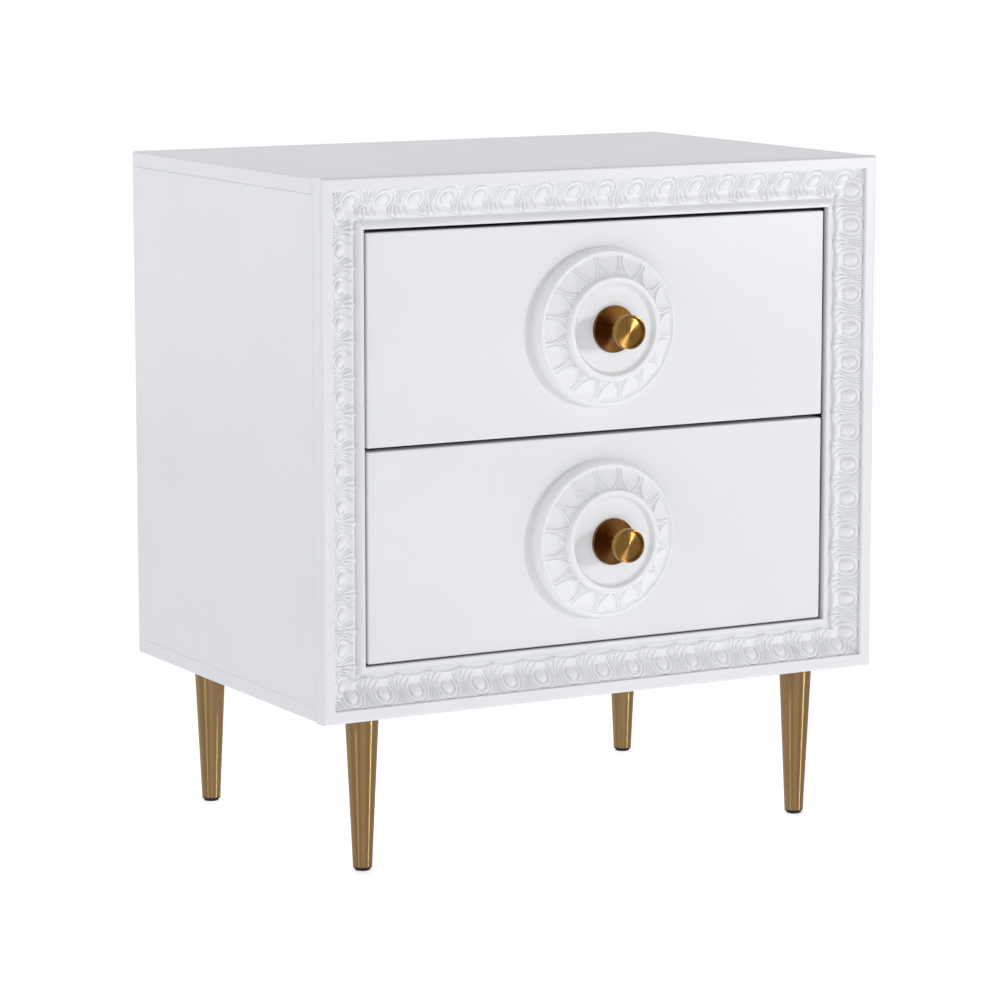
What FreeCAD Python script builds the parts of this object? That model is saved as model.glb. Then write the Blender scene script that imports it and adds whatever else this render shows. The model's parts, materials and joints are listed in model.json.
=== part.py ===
import FreeCAD, Part
import math
import os
from FreeCAD import Placement, Rotation, Vector

# A two-drawer nightstand: a lacquered case with a moulded picture-frame front,
# carved strips in the frame, a round medallion and a knob on each drawer, and
# four tapered metal legs with levelling glides.
#
# Millimetres. X runs to the right, Y to the back, Z up. The origin is on the
# floor, under the middle of the object measured with its knobs.

# ---------------------------------------------------------------- case
case_width = 600.0
case_height = 500.0
case_depth = 410.0            # front of the frame to the back face
leg_height = 150.0            # floor to the underside of the case
panel_thickness = 15.0
back_thickness = 9.0
back_lap = 8.0                # how far the back panel laps onto each panel's edge
back_play = 0.5               # gap round the back panel in its rebate
case_edge_round = 2.5
seam_bevel = 0.8              # small bevel that shows at each painted joint

# ---------------------------------------------------------------- front frame
frame_depth = 18.0
frame_width = 48.5
lip_width = 12.0
lip_inner_round = 1.0
seat_ledge_depth = 9.8        # front of the lip to the seat's ledge, behind the lip
seat_floor_depth = 15.8       # front of the lip to the seat's floor, beside the border
seat_slope_start = 19.0       # outer edge of the frame to the top of the seat's slope
seat_slope_end = 29.5
border_width = 7.5
border_setback = 10.2         # front of the lip to the front of the inner border
border_foot_depth = 14.4      # front of the lip to the foot of the border's rounded side
border_shoulder = 4.1         # width of the border's front before it rounds over
border_side_round = 5.5
border_round = 1.2
strip_play = 0.2              # gap each side of a carved strip in its seat
strip_edge_depth = 6.5        # front of the lip to the strip's outer edge
strip_nose_depth = 4.6        # front of the lip to the strip's highest line
strip_nose_start = 14.5       # outer edge of the frame to the nose
strip_nose_end = 16.6
strip_foot = 29.0             # outer edge of the frame to the foot of the strip's slope
strip_foot_depth = 13.9
strip_inner_depth = 14.2
strip_nose_round = 1.6
strip_foot_round = 8.0

# ---------------------------------------------------------------- joinery
dowel_diameter = 6.0
dowel_length = 20.0
dowel_end_play = 0.5
dowel_inset = 60.0            # first and last dowel, from the end of a joint
screw_diameter = 4.0
screw_head_diameter = 7.6
screw_head_height = 1.5
back_screw_diameter = 3.5
back_screw_length = 22.0
back_screw_head_diameter = 6.0
back_screw_inset = 28.0       # first and last screw, from the sides of the case

# ---------------------------------------------------------------- drawers
drawer_gap = 3.5              # beside, above and between the drawer fronts
drawer_foot_gap = 1.5         # under the lower drawer front
drawer_setback = 13.0         # front of the lip to the drawer fronts
front_thickness = 18.0
front_round = 1.8
box_side_thickness = 12.0
box_height = 140.0
drawer_back_room = 20.0       # back of the drawer box to the back panel
box_rise = 15.0               # lower edge of the front to the underside of the box
box_edge_round = 2.0
bottom_thickness = 6.0
bottom_rise = 12.0            # underside of the box side to the drawer bottom
groove_depth = 6.0
groove_play = 0.2
front_screw_length = 26.0

# ---------------------------------------------------------------- medallion and knob
medallion_radius = 75.5
medallion_wall = 8.0          # height of the outer wall, below the crest
crest_radius = 71.0
crest_height = 13.0
leaf_outer_radius = 69.0
leaf_outer_height = 11.5
leaf_inner_radius = 50.0
leaf_inner_height = 20.0
ring_radius = 46.4            # middle of the raised inner ring
ring_width = 5.0
ring_height = 26.0
dish_radius = 41.0
dish_height = 21.5
dish_round = 3.0              # where the dish meets the inside of the ring
knob_base_radius = 22.2
knob_base_thickness = 3.0
knob_stem_radius = 5.0
knob_neck_radius = 7.0
knob_head_radius = 16.0
knob_head_thickness = 7.0
knob_rim_width = 1.7
knob_recess = 2.6
knob_cone_rise = 0.8          # the recessed face rises this much to its centre
knob_length = 29.0            # front of the base disc to the front of the head
knob_edge_round = 0.6
knob_screw_diameter = 4.0
knob_screw_grip = 14.0        # thread inside the knob's stem
screw_clearance = 0.3         # radial, where a screw passes through

# ---------------------------------------------------------------- drawer slides
slide_height = 45.0
slide_thickness = 12.7
slide_sheet = 1.2
slide_web_gap = 1.8           # cabinet member's web to the middle member's web
ball_gap = 4.0                # between the flanges of two members
slide_flange_play = 0.8       # flange tips to the next member's web
slide_start_gap = 2.0         # back of the drawer front to the slide
slide_rise = 45.0             # underside of the box to the slide's centre line
slide_screw_inset = 35.0
cabinet_screw_length = 16.0
slide_screw_length = 10.5
block_height = 60.0

# ---------------------------------------------------------------- legs
leg_side_inset = 60.0         # leg's axis to the side of the case
leg_front_inset = 42.0        # leg's axis to the front of the lip
leg_back_inset = 37.5         # leg's axis to the back of the case
leg_top_radius = 15.8
leg_foot_radius = 9.1
leg_edge_round = 0.8
plate_size = 47.0
plate_thickness = 2.5
plate_corner_round = 5.0
plate_boss_radius = 8.0
plate_boss_height = 9.0
plate_screw_inset = 7.0
plate_screw_length = 14.0
stud_diameter = 8.0
stud_play = 0.05
stud_length = 11.0
collar_thickness = 1.0
collar_socket_radius = 5.5
collar_socket_depth = 24.0
glide_radius = 7.4
glide_height = 2.5
glide_round = 1.2
glide_stud_diameter = 6.0
glide_stud_length = 18.0
glide_play = 0.05

# ---------------------------------------------------------------- places worked out from the sizes
knob_proud = dish_height + knob_base_thickness + knob_length - drawer_setback
lip_y = (knob_proud - case_depth) / 2
half_width = case_width / 2
case_bottom = leg_height
case_top = leg_height + case_height
frame_back_y = lip_y + frame_depth
back_y = lip_y + case_depth
back_front_y = back_y - back_thickness
opening_half_width = half_width - frame_width
opening_bottom = case_bottom + frame_width
opening_height = case_height - 2 * frame_width
front_y = lip_y + drawer_setback
box_front_y = front_y + front_thickness
box_depth = back_front_y - drawer_back_room - box_front_y
slide_length = box_depth
front_width = 2 * opening_half_width - 2 * drawer_gap
front_height = (opening_height - drawer_foot_gap - 2 * drawer_gap) / 2
box_half_width = opening_half_width - slide_thickness
slide_y = box_front_y + slide_start_gap
panel_lip = panel_thickness - back_lap
levels = ("lower", "upper")
sides = {"left": -1, "right": 1}


def front_bottom(level):
    """Height of the lower edge of a drawer front."""
    return opening_bottom + drawer_foot_gap + levels.index(level) * (front_height + drawer_gap)


def save(name, *solids):
    """Write one named node, as a solid or as a group of separate solids."""
    shape = solids[0] if len(solids) == 1 else Part.Compound(list(solids))
    shape.exportStep("parts/" + name + ".step")


# ---------------------------------------------------------------- shape helpers
def block(x0, x1, y0, y1, z0, z1):
    return Part.makeBox(x1 - x0, y1 - y0, z1 - z0, Vector(x0, y0, z0))


def rod(radius, length, start, direction):
    return Part.makeCylinder(radius, length, Vector(*start), Vector(*direction))


def cut_all(shape, tools):
    """Shape with every tool cut out of it."""
    return shape.cut(Part.Compound(list(tools))) if tools else shape


def edges_within(shape, low, high):
    """Edges that lie wholly between two corners; None leaves that limit open."""
    tol = 0.01
    found = []
    for edge in shape.Edges:
        box = edge.BoundBox
        lows = (box.XMin, box.YMin, box.ZMin)
        highs = (box.XMax, box.YMax, box.ZMax)
        above = all(b is None or a >= b - tol for a, b in zip(lows, low))
        below = all(b is None or a <= b + tol for a, b in zip(highs, high))
        if above and below:
            found.append(edge)
    return found


def rounded_face(corners, place):
    """A flat face from corners (a, b, radius); place turns a and b into a point."""
    starts = []
    edges = []
    count = len(corners)
    for i in range(count):
        a, b, radius = corners[i]
        corner = Vector(a, b, 0)
        before = Vector(*corners[i - 1][:2], 0) - corner
        after = Vector(*corners[(i + 1) % count][:2], 0) - corner
        before.normalize()
        after.normalize()
        if radius <= 0:
            starts.append((corner, corner, corner))
            continue
        half_angle = before.getAngle(after) / 2
        run = radius / math.tan(half_angle)
        bisector = before + after
        bisector.normalize()
        middle = corner + bisector * (radius / math.sin(half_angle) - radius)
        starts.append((corner + before * run, middle, corner + after * run))
    for i in range(count):
        first, middle, last = [place(p.x, p.y) for p in starts[i]]
        following = place(starts[(i + 1) % count][0].x, starts[(i + 1) % count][0].y)
        if corners[i][2] > 0:
            edges.append(Part.Arc(first, middle, last).toShape())
        if (following - last).Length > 1e-6:
            edges.append(Part.LineSegment(last, following).toShape())
    return Part.Face(Part.Wire(edges))


def turned(corners, centre, axis):
    """A turned piece from (radius, height, round) corners, along axis from centre."""
    face = rounded_face(corners, lambda r, h: Vector(r, 0, h))
    solid = face.revolve(Vector(0, 0, 0), Vector(0, 0, 1), 360)
    solid.Placement = Placement(Vector(*centre), Rotation(Vector(0, 0, 1), Vector(*axis)))
    return Part.Solid(solid.Shells[0]) if solid.ShapeType != "Solid" else solid


def screw(diameter, length, head_diameter, head_height, seat, direction):
    """A pan-head screw; seat is under the head and direction is where its point goes."""
    head_round = head_height / 3
    corners = [(0, -head_height, 0), (head_diameter / 2, -head_height, head_round),
               (head_diameter / 2, 0, 0), (diameter / 2, 0, 0),
               (diameter / 2, length - diameter / 2, 0), (0, length, 0)]
    return turned(corners, seat, direction)


def flat_screw(diameter, length, head_diameter, seat, direction):
    """A flat-head screw or the hole that it fills; seat is the middle of its head's top."""
    head_depth = (head_diameter - diameter) / 2
    corners = [(0, 0, 0), (head_diameter / 2, 0, 0), (diameter / 2, head_depth, 0),
               (diameter / 2, length - diameter / 2, 0), (0, length, 0)]
    return turned(corners, seat, direction)


def screw_hole(diameter, length, seat, direction):
    """The hole that a screw's thread fills, as deep as the screw's point."""
    return turned([(0, 0, 0), (diameter / 2, 0, 0), (diameter / 2, length - diameter / 2, 0),
                   (0, length, 0)], seat, direction)


# ---------------------------------------------------------------- case panels and their dowels
def spread(low, high, count):
    """Evenly spaced places from low to high."""
    return [low + (high - low) * i / (count - 1) for i in range(count)]


def dowel_places():
    """Middle point and direction of every dowel in the case."""
    places = []
    side_x = half_width - panel_thickness / 2
    for z in (case_bottom + panel_thickness, case_top - panel_thickness):
        for x in (-side_x, side_x):
            for y in spread(frame_back_y + dowel_inset, back_y - dowel_inset, 3):
                places.append(((x, y, z), (0, 0, 1)))
    for x in (-side_x, side_x):
        for z in spread(case_bottom + dowel_inset, case_top - dowel_inset, 3):
            places.append(((x, frame_back_y, z), (0, 1, 0)))
    for z in (case_bottom + panel_thickness / 2, case_top - panel_thickness / 2):
        for x in spread(dowel_inset - half_width, half_width - dowel_inset, 4):
            places.append(((x, frame_back_y, z), (0, 1, 0)))
    return places


def dowel(place, extra):
    """A dowel, or with extra the hole that it goes into."""
    middle, direction = place
    length = dowel_length + 2 * extra
    start = Vector(*middle) - Vector(*direction) * (length / 2)
    return rod(dowel_diameter / 2, length, start, direction)


def rebate():
    """The step round the back opening that the back panel sits in."""
    return block(-half_width + panel_lip, half_width - panel_lip, back_front_y, back_y,
                 case_bottom + panel_lip, case_top - panel_lip)


def horizontal_panel(z0, z1, outside_z):
    """The top or bottom panel; outside_z is its outer face."""
    panel = block(-half_width, half_width, frame_back_y, back_y, z0, z1)
    inside_z = z1 if outside_z == z0 else z0
    seams = edges_within(panel, (None, None, inside_z), (-half_width, None, inside_z))
    seams += edges_within(panel, (half_width, None, inside_z), (None, None, inside_z))
    seams += edges_within(panel, (None, None, outside_z), (None, frame_back_y, outside_z))
    panel = panel.makeChamfer(seam_bevel, seams)
    outer = edges_within(panel, (None, frame_back_y, outside_z), (-half_width, None, outside_z))
    outer += edges_within(panel, (half_width, frame_back_y, outside_z), (None, None, outside_z))
    outer += edges_within(panel, (None, back_y, outside_z), (None, back_y, outside_z))
    return panel.makeFillet(case_edge_round, outer)


def side_panel(sign):
    """A side panel, between the top and bottom panels."""
    inner = sign * (half_width - panel_thickness)
    outer = sign * half_width
    panel = block(min(inner, outer), max(inner, outer), frame_back_y, back_y,
                  case_bottom + panel_thickness, case_top - panel_thickness)
    outer_edges = edges_within(panel, (outer, None, None), (outer, None, None))
    back_edges = edges_within(panel, (outer, back_y, None), (outer, back_y, None))
    seams = [e for e in outer_edges if not any(e.isSame(b) for b in back_edges)]
    return panel.makeChamfer(seam_bevel, seams)


def back_screw_places():
    """Seat of every screw that holds the back panel to the case."""
    x_edge = half_width - panel_lip - back_lap / 2
    z_low = case_bottom + panel_lip + back_lap / 2
    z_high = case_top - panel_lip - back_lap / 2
    places = []
    for x in (-x_edge, x_edge):
        for z in spread(case_bottom + back_screw_inset, case_top - back_screw_inset, 4):
            places.append((x, back_y, z))
    for z in (z_low, z_high):
        for x in spread(back_screw_inset - half_width, half_width - back_screw_inset, 4):
            places.append((x, back_y, z))
    return places


def build_case():
    dowels = dowel_places()
    dowel_holes = [dowel(place, dowel_end_play) for place in dowels]
    screws = back_screw_places()
    back_screws = [flat_screw(back_screw_diameter, back_screw_length, back_screw_head_diameter,
                              seat, (0, -1, 0)) for seat in screws]
    runner_holes = runner_block_holes()
    cutters = dowel_holes + [rebate()] + back_screws

    top = horizontal_panel(case_top - panel_thickness, case_top, case_top)
    save("top_panel", cut_all(top, cutters))
    bottom = horizontal_panel(case_bottom, case_bottom + panel_thickness, case_bottom)
    save("bottom_panel", cut_all(bottom, cutters + leg_plate_holes()))
    for side, sign in sides.items():
        save("side_panel_" + side, cut_all(side_panel(sign), cutters + runner_holes))

    gap = panel_lip + back_play
    back = block(-half_width + gap, half_width - gap, back_front_y, back_y,
                 case_bottom + gap, case_top - gap)
    save("back_panel", cut_all(back, back_screws))
    save("back_panel_screws", *back_screws)
    save("case_dowels", *[dowel(place, 0) for place in dowels])


# ---------------------------------------------------------------- front frame
def mitred_bar(corners, length):
    """A bar along X whose ends are mitred; corners are (in from the edge, depth, round)."""
    face = rounded_face(corners, lambda u, v: Vector(-length / 2, v, u))
    bar = face.extrude(Vector(length, 0, 0))
    u_low = min(corner[0] for corner in corners)
    u_high = max(corner[0] for corner in corners)
    v_low = min(corner[1] for corner in corners)
    v_high = max(corner[1] for corner in corners)
    outline = [(u_low - length / 2, u_low), (length / 2 - u_low, u_low),
               (length / 2 - u_high, u_high), (u_high - length / 2, u_high)]
    points = [Vector(x, v_low, z) for x, z in outline]
    mitre = Part.Face(Part.makePolygon(points + points[:1])).extrude(Vector(0, v_high - v_low, 0))
    return bar.common(mitre).Solids[0]


def frame_member(corners, side):
    """A mitred bar turned into its place on one side of the front."""
    angle, length, x, z = {
        "bottom": (0, case_width, 0, case_bottom),
        "top": (180, case_width, 0, case_top),
        "left": (90, case_height, -half_width, (case_bottom + case_top) / 2),
        "right": (-90, case_height, half_width, (case_bottom + case_top) / 2),
    }[side]
    bar = mitred_bar(corners, length)
    bar.Placement = Placement(Vector(x, lip_y, z), Rotation(Vector(0, 1, 0), angle))
    return bar


def build_frame():
    seat_end = frame_width - border_width
    section = [
        (0, 0, case_edge_round),
        (0, frame_depth - seam_bevel, 0),
        (seam_bevel, frame_depth, 0),
        (frame_width, frame_depth, 0),
        (frame_width, border_setback, border_round),
        (frame_width - border_shoulder, border_setback, border_side_round),
        (seat_end, border_foot_depth, 0),
        (seat_end, seat_floor_depth, 0),
        (seat_slope_end, seat_floor_depth, 0),
        (seat_slope_start, seat_ledge_depth, 0),
        (lip_width, seat_ledge_depth, 0),
        (lip_width, 0, lip_inner_round),
    ]
    strip_low = lip_width + strip_play
    strip_high = seat_end - strip_play
    strip = [
        (strip_low, seat_ledge_depth, 0),
        (seat_slope_start, seat_ledge_depth, 0),
        (seat_slope_end, seat_floor_depth, 0),
        (strip_high, seat_floor_depth, 0),
        (strip_high, strip_inner_depth, 0),
        (strip_foot, strip_foot_depth, strip_foot_round),
        (strip_nose_end, strip_nose_depth, strip_nose_round),
        (strip_nose_start, strip_nose_depth, strip_nose_round),
        (strip_low, strip_edge_depth, 0),
    ]
    names = {"top": "frame_rail_top", "bottom": "frame_rail_bottom",
             "left": "frame_stile_left", "right": "frame_stile_right"}
    holes = [dowel(place, dowel_end_play) for place in dowel_places()]
    for side, name in names.items():
        save(name, cut_all(frame_member(section, side), holes))
        save("carved_strip_" + side, frame_member(strip, side))


# ---------------------------------------------------------------- slides
def slide_centre(level):
    return front_bottom(level) + box_rise + slide_rise


def channel(sign, level, web, tip, half_height):
    """A slide member: a web and two flanges. web and tip count from the block's face."""
    low, high = sorted((web, tip))
    inner = (low + slide_sheet, high) if web < tip else (low, high - slide_sheet)
    web_low = web if web < tip else web - slide_sheet
    z = slide_centre(level)
    y0, y1 = slide_y, slide_y + slide_length

    def across(a, b, z0, z1):
        xs = sorted((sign * (opening_half_width - a), sign * (opening_half_width - b)))
        return block(xs[0], xs[1], y0, y1, z0, z1)

    plate = across(web_low, web_low + slide_sheet, z - half_height, z + half_height)
    upper = across(inner[0], inner[1], z + half_height - slide_sheet, z + half_height)
    lower = across(inner[0], inner[1], z - half_height, z - half_height + slide_sheet)
    return plate.fuse([upper, lower]).removeSplitter().Solids[0]


def slide_members(sign, level):
    """Cabinet, middle and drawer members of one slide."""
    half_cabinet = slide_height / 2
    half_middle = half_cabinet - slide_sheet - ball_gap
    half_drawer = half_middle - slide_sheet - ball_gap
    middle_web = slide_sheet + slide_web_gap
    drawer_web = slide_thickness - slide_sheet
    cabinet = channel(sign, level, 0, drawer_web - slide_flange_play, half_cabinet)
    middle = channel(sign, level, middle_web, drawer_web - slide_flange_play, half_middle)
    drawer = channel(sign, level, slide_thickness, middle_web + slide_sheet + slide_web_gap, half_drawer)
    return cabinet, middle, drawer


def slide_screw_seats(level, x_from_block, sign):
    """Seats under the heads of a member's screws."""
    x = sign * (opening_half_width - x_from_block)
    ys = (slide_y + slide_screw_inset, slide_y + slide_length - slide_screw_inset)
    return [(x, y, slide_centre(level)) for y in ys]


def web_holes(seats, direction):
    """Clearance holes through a member's web."""
    radius = screw_diameter / 2 + screw_clearance
    return [rod(radius, slide_sheet, seat, direction) for seat in seats]


def cabinet_screw_holes():
    """Threaded depth of the cabinet members' screws in the blocks."""
    holes = []
    for level in levels:
        for sign in sides.values():
            for seat in slide_screw_seats(level, slide_sheet, sign):
                holes.append(screw_hole(screw_diameter, cabinet_screw_length, seat, (sign, 0, 0)))
    return holes


def runner_block_holes():
    """Dowel holes between the runner blocks and the side panels."""
    return [dowel(place, dowel_end_play) for place in runner_dowel_places()]


def runner_dowel_places():
    places = []
    for level in levels:
        for sign in sides.values():
            for y in spread(frame_back_y + dowel_inset, back_front_y - dowel_inset, 3):
                z = slide_centre(level)
                places.append(((sign * (half_width - panel_thickness), y, z), (1, 0, 0)))
    return places


def build_slides():
    screws = []
    for level in levels:
        blocks = []
        cabinets = []
        middles = []
        for sign in sides.values():
            xs = sorted((sign * opening_half_width, sign * (half_width - panel_thickness)))
            z = slide_centre(level)
            runner = block(xs[0], xs[1], frame_back_y, back_front_y, z - block_height / 2, z + block_height / 2)
            blocks.append(cut_all(runner, runner_block_holes() + cabinet_screw_holes()))
            cabinet, middle, _ = slide_members(sign, level)
            seats = slide_screw_seats(level, slide_sheet, sign)
            cabinets.append(cut_all(cabinet, web_holes(seats, (sign, 0, 0))))
            middles.append(middle)
            for seat in seats:
                screws.append(screw(screw_diameter, cabinet_screw_length, screw_head_diameter,
                                    screw_head_height, seat, (sign, 0, 0)))
        save("runner_blocks_" + level, *blocks)
        save("slide_cabinet_members_" + level, *cabinets)
        save("slide_middle_members_" + level, *middles)
    save("slide_cabinet_screws", *screws)
    save("runner_block_dowels", *[dowel(place, 0) for place in runner_dowel_places()])


# ---------------------------------------------------------------- drawers
def knob_axis(level):
    """Centre of a drawer front, where its medallion and knob stand."""
    return (0, front_y, front_bottom(level) + front_height / 2)


def stand_out(level, height):
    """The knob axis at a height above the drawer front."""
    x, y, z = knob_axis(level)
    return (x, y - height, z)


def medallion_shape(level):
    ring_inner = ring_radius - ring_width / 2
    ring_outer = ring_radius + ring_width / 2
    corners = [
        (0, 0, 0),
        (medallion_radius, 0, 0),
        (medallion_radius, medallion_wall, 3.0),
        (crest_radius + 1.5, crest_height, 1.2),
        (crest_radius - 1.0, crest_height, 0.8),
        (leaf_outer_radius, leaf_outer_height, 0),
        (leaf_inner_radius, leaf_inner_height, 0),
        (ring_outer, ring_height, 1.4),
        (ring_inner, ring_height, 1.6),
        (dish_radius, dish_height, dish_round),
        (0, dish_height, 0),
    ]
    return turned(corners, knob_axis(level), (0, -1, 0))


def knob_base_shape(level):
    corners = [(0, 0, 0), (knob_base_radius, 0, 0),
               (knob_base_radius, knob_base_thickness, knob_edge_round), (0, knob_base_thickness, 0)]
    return turned(corners, stand_out(level, dish_height), (0, -1, 0))


def knob_shape(level):
    head_back = knob_length - knob_head_thickness
    neck = knob_neck_radius - knob_stem_radius
    recess_radius = knob_head_radius - knob_rim_width
    recess_floor = knob_length - knob_recess
    corners = [
        (0, 0, 0),
        (knob_stem_radius, 0, 0),
        (knob_stem_radius, head_back - neck, 0),
        (knob_neck_radius, head_back, 0),
        (knob_head_radius, head_back, knob_edge_round),
        (knob_head_radius, knob_length, knob_edge_round),
        (recess_radius, knob_length, knob_edge_round / 2),
        (recess_radius, recess_floor, 0),
        (0, recess_floor + knob_cone_rise, 0),
    ]
    return turned(corners, stand_out(level, dish_height + knob_base_thickness), (0, -1, 0))


def drawer_screw_seats(level):
    """Seats, on the back of the box front, of the screws that hold the drawer front."""
    x = box_half_width / 2
    z = front_bottom(level) + box_rise + box_height / 2
    z_offset = box_height / 4
    y = box_front_y + box_side_thickness
    return [(sx * x, y, z + sz * z_offset) for sx in (-1, 1) for sz in (-1, 1)]


def build_drawer(level):
    z0 = front_bottom(level)
    box_z0 = z0 + box_rise
    box_z1 = box_z0 + box_height
    box_back_y = box_front_y + box_depth
    seats = drawer_screw_seats(level)
    front_holes = [screw_hole(screw_diameter, front_screw_length, seat, (0, -1, 0)) for seat in seats]
    box_holes = [rod(screw_diameter / 2 + screw_clearance, box_side_thickness,
                     (seat[0], box_front_y, seat[2]), (0, 1, 0)) for seat in seats]

    # the knob's screw runs from the back of the box front into the knob's stem
    knob_screw_seat = (0, box_front_y + box_side_thickness, knob_axis(level)[2])
    knob_screw_length = (box_side_thickness + front_thickness + dish_height + knob_base_thickness
                         + knob_screw_grip)
    knob_hole = rod(knob_screw_diameter / 2 + screw_clearance,
                    knob_screw_length - knob_screw_grip, knob_screw_seat, (0, -1, 0))
    knob_thread = screw_hole(knob_screw_diameter, knob_screw_length, knob_screw_seat, (0, -1, 0))

    front = block(-front_width / 2, front_width / 2, front_y, box_front_y, z0, z0 + front_height)
    rounded = edges_within(front, (None, None, None), (None, front_y, None))
    rounded += [e for e in front.Edges if abs(e.Length - front_thickness) < 0.01]
    front = front.makeFillet(front_round, rounded)
    save("drawer_front_" + level, cut_all(front, front_holes + [knob_hole]))
    save("medallion_" + level, cut_all(medallion_shape(level), [knob_hole]))
    save("knob_base_" + level, cut_all(knob_base_shape(level), [knob_hole]))
    save("knob_" + level, cut_all(knob_shape(level), [knob_thread]))
    save("knob_screw_" + level, screw(knob_screw_diameter, knob_screw_length, screw_head_diameter,
                                      screw_head_height, knob_screw_seat, (0, -1, 0)))
    save("drawer_front_screws_" + level, *[screw(screw_diameter, front_screw_length, screw_head_diameter,
                                                 screw_head_height, seat, (0, -1, 0)) for seat in seats])

    # the bottom sits in a groove cut in all four walls of the box
    inner_half = box_half_width - box_side_thickness
    inner_y0 = box_front_y + box_side_thickness
    inner_y1 = box_back_y - box_side_thickness
    bottom_z0 = box_z0 + bottom_rise
    bottom_z1 = bottom_z0 + bottom_thickness
    groove = block(-inner_half - groove_depth, inner_half + groove_depth,
                   inner_y0 - groove_depth, inner_y1 + groove_depth,
                   bottom_z0 - groove_play / 2, bottom_z1 + groove_play / 2)
    reach = groove_depth - groove_play
    save("drawer_bottom_" + level, block(-inner_half - reach, inner_half + reach,
                                         inner_y0 - reach, inner_y1 + reach, bottom_z0, bottom_z1))

    side_screws = []
    members = []
    for side, sign in sides.items():
        xs = sorted((sign * box_half_width, sign * inner_half))
        wall = block(xs[0], xs[1], box_front_y, box_back_y, box_z0, box_z1)
        top_edges = [e for e in edges_within(wall, (None, None, box_z1), (None, None, None))
                     if e.Length > box_side_thickness + 1]
        wall = wall.makeFillet(box_edge_round, top_edges)
        seats_x = slide_screw_seats(level, slide_thickness - slide_sheet, sign)
        inward = (-sign, 0, 0)
        holes = [screw_hole(screw_diameter, slide_screw_length, seat, inward) for seat in seats_x]
        save("drawer_side_" + side + "_" + level, cut_all(wall, [groove] + holes))
        member = slide_members(sign, level)[2]
        members.append(cut_all(member, web_holes(seats_x, inward)))
        side_screws += [screw(screw_diameter, slide_screw_length, screw_head_diameter,
                              screw_head_height, seat, inward) for seat in seats_x]
    save("slide_drawer_members_" + level, *members)
    save("slide_drawer_screws_" + level, *side_screws)

    for name, y0, y1 in (("front", box_front_y, inner_y0), ("back", inner_y1, box_back_y)):
        wall = block(-inner_half, inner_half, y0, y1, box_z0, box_z1)
        top_edges = [e for e in edges_within(wall, (None, None, box_z1), (None, None, None))
                     if e.Length > box_side_thickness + 1]
        wall = wall.makeFillet(box_edge_round, top_edges)
        holes = box_holes + [knob_hole] if name == "front" else []
        save("drawer_box_" + name + "_" + level, cut_all(wall, [groove] + holes))


# ---------------------------------------------------------------- legs
def leg_places():
    """Axis of each leg, by name."""
    x = half_width - leg_side_inset
    front = lip_y + leg_front_inset
    back = back_y - leg_back_inset
    return {"front_left": (-x, front), "front_right": (x, front),
            "back_left": (-x, back), "back_right": (x, back)}


def plate_screw_seats(x, y):
    offset = plate_size / 2 - plate_screw_inset
    z = case_bottom - plate_thickness
    return [(x + i * offset, y + j * offset, z) for i in (-1, 1) for j in (-1, 1)]


def leg_plate_holes():
    """Holes in the bottom panel for the plates' bosses and screws."""
    holes = []
    for x, y in leg_places().values():
        boss = plate_boss_height + screw_clearance
        holes.append(rod(plate_boss_radius + screw_clearance, boss, (x, y, case_bottom), (0, 0, 1)))
        for seat in plate_screw_seats(x, y):
            holes.append(screw_hole(back_screw_diameter, plate_screw_length, seat, (0, 0, 1)))
    return holes


def leg_plate(x, y):
    half = plate_size / 2
    z = case_bottom - plate_thickness
    plate = block(x - half, x + half, y - half, y + half, z, case_bottom)
    upright = [e for e in plate.Edges if abs(e.Length - plate_thickness) < 0.01]
    plate = plate.makeFillet(plate_corner_round, upright)
    plate = plate.fuse(rod(plate_boss_radius, plate_boss_height, (x, y, case_bottom), (0, 0, 1)))
    holes = [rod(stud_diameter / 2 + stud_play, plate_thickness + plate_boss_height, (x, y, z), (0, 0, 1))]
    radius = back_screw_diameter / 2 + screw_clearance
    holes += [rod(radius, plate_thickness, seat, (0, 0, 1)) for seat in plate_screw_seats(x, y)]
    return cut_all(plate, holes)


def leg_shape(x, y):
    """A tapered leg with a stud at its top and a socket for its collar at its foot."""
    top = leg_height - plate_thickness
    foot = glide_height + collar_thickness
    corners = [
        (0, foot, 0),
        (leg_foot_radius, foot, leg_edge_round / 2),
        (leg_top_radius, top, leg_edge_round),
        (stud_diameter / 2, top, 0),
        (stud_diameter / 2, top + stud_length, 0),
        (0, top + stud_length, 0),
    ]
    leg = turned(corners, (x, y, 0), (0, 0, 1))
    return cut_all(leg, [rod(collar_socket_radius, collar_socket_depth, (x, y, foot), (0, 0, 1))])


def collar_shape(x, y):
    """A threaded plug in the leg's socket, with a flange under the leg."""
    foot = glide_height
    top = foot + collar_thickness + collar_socket_depth - dowel_end_play
    corners = [
        (glide_stud_diameter / 2 + glide_play, foot, 0),
        (leg_foot_radius, foot, leg_edge_round / 2),
        (leg_foot_radius, foot + collar_thickness, 0),
        (collar_socket_radius, foot + collar_thickness, 0),
        (collar_socket_radius, top, 0),
        (glide_stud_diameter / 2 + glide_play, top, 0),
    ]
    return turned(corners, (x, y, 0), (0, 0, 1))


def glide_shape(x, y):
    """A levelling glide: a pad on a threaded stud."""
    stud = glide_stud_diameter / 2
    corners = [
        (0, 0, 0),
        (glide_radius, 0, glide_round),
        (glide_radius, glide_height, 0),
        (stud, glide_height, 0),
        (stud, glide_height + glide_stud_length, 0),
        (0, glide_height + glide_stud_length, 0),
    ]
    return turned(corners, (x, y, 0), (0, 0, 1))


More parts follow.
